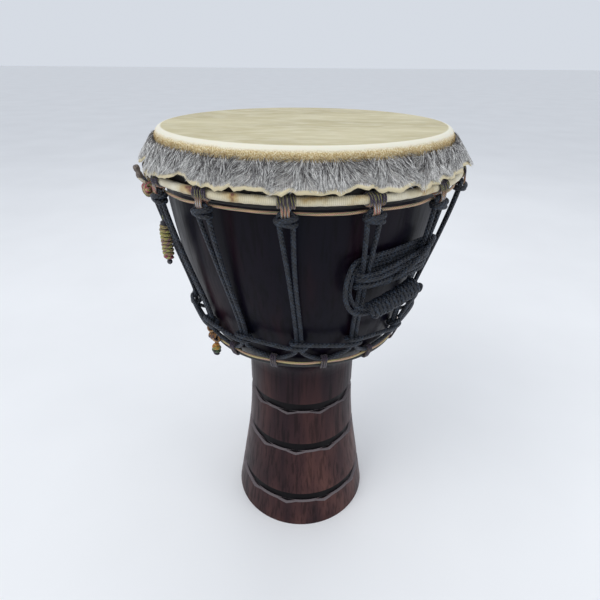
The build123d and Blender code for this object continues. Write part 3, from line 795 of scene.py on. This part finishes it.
between = (low_bend - low_ring).normalized()
lace = low_ring + between * 0.0038
low_route = []
for here, after in zip(hitches, hitches[1:] + [hitches[0] + 360]):
    start = here + twist
    low_route += [at(start - 2.6, lace.x, lace.y), at(start + 2.6, lace.x, lace.y)]
    low_route += [at(start + (after - here) * s, lace.x + 0.0008,
        lace.y + 0.0004 * math.sin(here + 7 * s)) for s in (0.3, 0.5, 0.7)]
low_lacing = laid_cord("bottom_lacing_cord", [line_of(low_route, closed=True)], 0.0012, 10, closed=True)
low_second = laid_cord("bottom_lacing_second", [line_of([p + Vector((0, 0, 0.0017)) + Vector((p.x, p.y,
    0)).normalized() * 0.0015 for p in low_route], closed=True)], 0.0012, 10, closed=True)
low_finish = patterned("low_lacing_cord", [(0.66, 0.44, 0.20), (0.60, 0.42, 0.24), (0.66, 0.60, 0.20),
    (0.60, 0.42, 0.24), (0.62, 0.34, 0.28)], 0.040)
for piece in (low_lacing, low_second):
    piece.data.materials.append(low_finish)
    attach(piece, "root")
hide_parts("bottom_lacing")

# --- Upper knot, strap and toggle -----------------------------------------------------------
# The crown cord is tied off beside the first pair: a coiled knot with its end drawn through,
# five more turns round the ring, a cream strap, and a rolled leather stopper on the strap.
knot_azimuth = -66.5
knot_lines = []
for step, across in enumerate((-0.0066, -0.0024, 0.0020, 0.0062)):
    points = []
    for k in range(12):
        a = 2 * math.pi * k / 12
        wide = 0.0047 + 0.0006 * math.sin(k * 1.7 + step)
        points.append(at(knot_azimuth, 0.1706 + wide * math.cos(a), 0.4834 + wide * math.sin(a),
            across + 0.0021 * math.sin(a + step)))
    knot_lines.append(line_of(points, closed=True, steps=4))
upper_knot = laid_cord("upper_cord_knot", knot_lines, 0.0019, 12, closed=True, shift=0.019)
upper_knot.data.materials.append(patterned("knot_cord",
    [(0.42, 0.05, 0.06), rose, leaf, tan, (0.50, 0.35, 0.20)], 0.015))
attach(upper_knot, "root")
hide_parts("upper_knot")

knot_tail_line = line_of([at(knot_azimuth, 0.1722, 0.4842, -0.0098),
    at(knot_azimuth, 0.1708, 0.4836, -0.0060),
    at(knot_azimuth, 0.1704, 0.4832, 0.0), at(knot_azimuth, 0.1708, 0.4834, 0.0060), at(knot_azimuth,
        0.1730, 0.4848, 0.0098)])
knot_tail = laid_cord("upper_knot_tail", [knot_tail_line], 0.0024, 12)
knot_tail.data.materials.append(patterned("knot_tail_cord",
    [(0.50, 0.35, 0.20), rose, (0.42, 0.05, 0.06), lime], 0.009))
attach(knot_tail, "root")

turns = []
turn = [ring + Vector((math.sin(k * math.pi / 6), math.cos(k * math.pi / 6))) * 0.0055 for k in range(12)]
for across in (-0.0048, -0.0024, 0.0, 0.0024, 0.0048):
    points = [at(-62.4, p.x, p.y, across + 0.0009 * math.sin(i * 0.52)) for i, p in enumerate(turn)]
    turns.append(line_of(points, closed=True, steps=4))
ring_turns = laid_cord("upper_ring_turns", turns, cord_radius, 8, closed=True, shift=0.007)
ring_turns.data.materials.append(patterned("ring_turn_cord",
    [(0.52, 0.40, 0.10), purple, (0.42, 0.30, 0.12), ink], 0.011))
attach(ring_turns, "root")

strap_line = line_of([at(-65.0, 0.1735, 0.4905), at(-66.4, 0.1768, 0.4930), at(-67.0, 0.1784, 0.4948),
    at(-67.6, 0.1790, 0.4970), at(-67.8, 0.1788, 0.4996)])
strap = laid_cord("upper_toggle_strap", [strap_line], 0.0015, 10)
strap.data.materials.append(patterned("strap_cord", [(0.60, 0.52, 0.38), (0.52, 0.42, 0.28),
    (0.66, 0.60, 0.48)], 0.009))
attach(strap, "root")
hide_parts("upper_toggle_cord")

roll = [(0.0, 0.0066), (0.0014, 0.0070), (0.0024, 0.0064), (0.0031, 0.0048), (0.0030, 0.0020),
    (0.0024, 0.0006), (0.0025, -0.0004), (0.0031, -0.0018), (0.0034, -0.0046), (0.0026, -0.0062),
    (0.0012, -0.0066), (0.0, -0.0062)]
toggle = turned("upper_leather_toggle", roll, 28)
for vertex in toggle.data.vertices:
    lap = 1 + 0.10 * ((math.atan2(vertex.co.y, vertex.co.x) / math.tau) % 1.0)
    vertex.co.x *= lap
    vertex.co.y *= lap
lean = Matrix.Rotation(math.radians(-16), 4, "Y")
toggle.data.transform(Matrix.Translation(at(-67.6, 0.1782, 0.5002)) @ lean)
material, tree, shader = new_finish("toggle_leather", 0.6)
skin_grain = object_noise(tree, 520.0, 5.0)
tree.links.new(ramp(tree, skin_grain, [(0.35, (0.060, 0.045, 0.038)), (0.62, (0.22, 0.18, 0.15))]),
    shader.inputs["Base Color"])
raise_by(tree, shader, skin_grain, 0.0004, 0.7)
toggle.data.materials.append(material)
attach(toggle, "root")
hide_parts("upper_toggle")

# --- Upper pendant --------------------------------------------------------------------------
# A hanging ornament: two thin dark cords on a cord ring, wound below into a barrel of bright
# and dark turns, with one small black bead under it on the core's own end.
hang = -58.8
hang_radius = 0.1642
pendant_finish = patterned("pendant_cord", [ink, purple, ink, lime, purple], 0.017)
link_radius = 0.0031
link_line = line_of([at(hang, hang_radius + link_radius * math.cos(a),
    0.4880 - 0.0023 + link_radius * math.sin(a)) for a in (k * math.pi / 6 for k in range(12))],
    closed=True, steps=4)
link = laid_cord("upper_pendant_ring", [link_line], 0.0007, 8, closed=True)
link.data.materials.append(pendant_finish)
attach(link, "upper_link")
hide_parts("upper_pendant_loop")

strand_lines = []
for side in (-1, 1):
    half = 0.0017 * side
    strand_lines.append(line_of([
        at(hang, hang_radius, 0.4867, half * 0.15),
        at(hang, hang_radius, 0.4864, half * 0.95),
        at(hang, hang_radius, 0.4820, half * 1.0),
        at(hang, hang_radius, 0.4700, half * 0.85),
        at(hang, hang_radius, 0.4600, half * 1.1),
        at(hang, hang_radius, 0.4545, half * 0.9),
    ]))
strands = laid_cord("upper_pendant_strands", strand_lines, 0.0008, 10)
strands.data.materials.append(pendant_finish)
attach(strands, "upper_pendant")
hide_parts("upper_pendant_cord")


def wound_line(azimuth, radius, top, turns, pitch, widths):
    """A cord wound down in a barrel, its turns as wide as the list says along it."""
    points = []
    for step in range(turns * 12 + 1):
        share = step / (turns * 12)
        wide = float(np.interp(share, [i / (len(widths) - 1) for i in range(len(widths))], widths))
        a = 2 * math.pi * step / 12
        centre = at(azimuth, radius, top - pitch * step / 12)
        points.append(centre + Vector((math.cos(a), math.sin(a), 0)) * wide)
    return line_of(points, steps=4)


def banded(name, bands):
    """Braided cord coloured by how high it stands, each band with a lighter fleck."""
    material, tree, shader = new_finish(name, 0.6, Sheen_Weight=0.25)
    relief, right, left = braid_height(tree, 5.0, 0.0017)
    low, high = bands[0][0], bands[-1][0]
    share = put(tree, "ShaderNodeMapRange", {0: height_of(tree), 1: low, 2: high, 3: 0.0,
        4: 1.0}).outputs[0]
    base = ramp(tree, share, [((z - low) / (high - low), c) for z, c, d in bands], hard=True)
    fleck = ramp(tree, share, [((z - low) / (high - low), d) for z, c, d in bands], hard=True)
    pick = maths(tree, "GREATER_THAN", maths(tree, "FRACT", maths(tree, "MULTIPLY", right, 0.33)), 0.6)
    tint = mixed(tree, pick, base, fleck)
    braid_over(tree, shader, tint, relief, 0.0005)
    return material


barrel_line = wound_line(hang, hang_radius, 0.4529, 9, 0.0041,
    [0.0030, 0.0044, 0.0047, 0.0045, 0.0047, 0.0046, 0.0047, 0.0045, 0.0038])
core_line = line_of([at(hang, hang_radius, 0.4548), at(hang, hang_radius, 0.4530),
    at(hang, hang_radius, 0.4180), at(hang, hang_radius, 0.4150)])
barrel = laid_cord("upper_pendant_winding", [barrel_line], 0.00165, 12)
straw_cord, lime_cord = (0.40, 0.31, 0.10), (0.42, 0.40, 0.10)
barrel_bands = [(0.410, (0.14, 0.17, 0.12), (0.26, 0.30, 0.22)), (0.4155, (0.34, 0.06, 0.10), lime_cord),
    (0.4215, lime_cord, (0.30, 0.16, 0.12)), (0.430, straw_cord, (0.26, 0.12, 0.14)),
    (0.438, lime_cord, straw_cord), (0.446, straw_cord, (0.20, 0.14, 0.08)),
    (0.452, (0.16, 0.10, 0.06), ink), (0.456, ink, ink)]
barrel_finish = banded("barrel_cord", barrel_bands)
barrel.data.materials.append(barrel_finish)
core = laid_cord("upper_pendant_core", [core_line], 0.0040, 16)
core.data.materials.append(patterned("core_cord", [ink, purple, ink], 0.008))
for piece in (barrel, core):
    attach(piece, "upper_pendant")
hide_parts("upper_pendant_barrel")

bead_profile = [(0.0006, 0.41078), (0.0013, 0.41086), (0.0022, 0.4103), (0.0028, 0.4092),
    (0.00285, 0.4080), (0.0024, 0.4067), (0.0015, 0.4059), (0.0007, 0.4056), (0.0006, 0.4059),
    (0.0006, 0.41078)]
bead = turned("upper_pendant_black_bead", bead_profile, 32)
bead.data.transform(Matrix.Translation(at(hang, hang_radius, 0.0027)))
material, tree, shader = new_finish("dark_glass_bead", 0.22, Coat_Weight=0.5)
tree.links.new(ramp(tree, object_noise(tree, 700.0), [(0.4, (0.008, 0.008, 0.012)),
    (0.7, (0.03, 0.03, 0.05))]), shader.inputs["Base Color"])
bead.data.materials.append(material)
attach(bead, "upper_pendant")
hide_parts("upper_pendant_bead")

tail_line = line_of([at(hang, hang_radius, 0.4154), at(hang, hang_radius, 0.4140),
    at(hang, hang_radius, 0.4110), at(hang, hang_radius, 0.4079)])
tail = laid_cord("upper_pendant_tail", [tail_line], 0.00055, 8)
tail.data.materials.append(patterned("tail_cord", [ink, purple, ink], 0.006))
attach(tail, "upper_pendant")

# --- Lower knot and pendant -----------------------------------------------------------------
# Where the lower cord is tied off beside the bottom ring: a knot of dark turns, and under it a
# small acorn of cord that hangs on a short neck.
low_hang, low_radius = -52.6, 0.128
knot_lines = []
for step, across in enumerate((-0.0052, -0.0017, 0.0018, 0.0052)):
    points = []
    for k in range(12):
        a = 2 * math.pi * k / 12
        wide = 0.0037 + 0.0005 * math.sin(k * 1.3 + step)
        points.append(at(low_hang, low_radius + 0.0009 + wide * math.cos(a), 0.3138 + wide * math.sin(a),
            across + 0.0014 * math.sin(a + step)))
    knot_lines.append(line_of(points, closed=True, steps=4))
lower_knot = laid_cord("lower_cord_knot", knot_lines, 0.0017, 12, closed=True, shift=0.013)
lower_knot.data.materials.append(patterned("lower_knot_cord",
    [(0.20, 0.08, 0.03), (0.50, 0.22, 0.04), tan, purple, ink], 0.014))
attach(lower_knot, "root")
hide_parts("lower_knot")

leg = [p for p in upright_line if -57.5 < math.degrees(math.atan2(p.x,
    -p.y)) < -52.5 and 0.315 < p.z < 0.3295]
leg.sort(key=lambda p: p.z)
coil = []
for step in range(4 * 12 + 1):
    share = step / 48 * (len(leg) - 1)
    here = leg[int(share)].lerp(leg[min(int(share) + 1, len(leg) - 1)], share % 1.0)
    along = (leg[-1] - leg[0]).normalized()
    outward = Vector((here.x, here.y, 0)).normalized()
    outward = (outward - along * outward.dot(along)).normalized()
    a = 2 * math.pi * step / 12
    coil.append(here + (outward * math.cos(a) + along.cross(outward) * math.sin(a)) * 0.0040)
leg_turns = laid_cord("lower_leg_turns", [line_of(coil, steps=4)], 0.0013, 10)
leg_turns.data.materials.append(patterned("leg_turn_cord",
    [(0.24, 0.11, 0.05), (0.52, 0.27, 0.07), tan, (0.30, 0.14, 0.06)], 0.013))
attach(leg_turns, "root")

neck_line = line_of([at(low_hang, low_radius, 0.3042), at(low_hang, low_radius, 0.3051),
    at(low_hang, low_radius, 0.3066), at(low_hang, low_radius, 0.3083)])
neck = laid_cord("lower_pendant_neck", [neck_line], 0.0014, 10)
neck.data.materials.append(patterned("neck_cord", [ink, purple, tan], 0.006))
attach(neck, "lower_link")
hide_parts("lower_pendant_cord")

acorn_line = wound_line(low_hang, low_radius, 0.3014, 3, 0.0041, [0.0020, 0.0036, 0.0037, 0.0030, 0.0012])
acorn_core = line_of([at(low_hang, low_radius, 0.3030), at(low_hang, low_radius, 0.3015),
    at(low_hang, low_radius, 0.2900), at(low_hang, low_radius, 0.2882)])
acorn = laid_cord("lower_pendant_winding", [acorn_line], 0.0021, 12)
acorn_bands = [(0.286, ink, purple), (0.2925, (0.05, 0.10, 0.03), ink), (0.2965, (0.55, 0.30, 0.03), leaf),
    (0.300, (0.62, 0.22, 0.03), (0.6, 0.4, 0.05)), (0.306, (0.62, 0.22, 0.03), tan)]
acorn_finish = banded("acorn_cord", acorn_bands)
acorn_middle = laid_cord("lower_pendant_core", [acorn_core], 0.0024, 12)
for piece in (acorn, acorn_middle):
    piece.data.materials.append(acorn_finish)
    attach(piece, "lower_pendant")
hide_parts("lower_pendant_barrel")

# --- Floor and light ------------------------------------------------------------------------
# A plain pale floor that runs on past the view, a large soft lamp over the front left and a
# weaker one to the right.
bpy.ops.mesh.primitive_plane_add(size=60, location=(0, 0, -0.0002))
floor = bpy.context.object
floor.name = "floor"
floor.select_set(False)
material, tree, shader = new_finish("pale_floor", 0.9)
tree.links.new(ramp(tree, object_noise(tree, 3.0), [(0.3, (0.86, 0.86, 0.86)), (0.7, (0.90, 0.90, 0.90))]),
    shader.inputs["Base Color"])
floor.data.materials.append(material)

world = bpy.data.worlds.new("studio")
bpy.context.scene.world = world
world.use_nodes = True
world.node_tree.nodes["Background"].inputs["Color"].default_value = (0.84, 0.89, 0.97, 1)
world.node_tree.nodes["Background"].inputs["Strength"].default_value = 0.80
for name, place, size, power in (("lamp_left", (-1.1, -0.9, 2.0), 1.2, 15),
    ("lamp_right", (1.5, -0.7, 1.2), 1.0, 5), ("lamp_back", (0.2, 1.5, 1.9), 1.4, 6)):
    bpy.ops.object.light_add(type="AREA", location=place)
    lamp = bpy.context.object
    lamp.name = name
    lamp.data.energy = power
    lamp.data.size = size
    lamp.rotation_euler = (Vector((0, 0, 0.3)) - Vector(place)).to_track_quat("-Z", "Y").to_euler()
    lamp.select_set(False)
bpy.context.scene.view_settings.view_transform = "Standard"
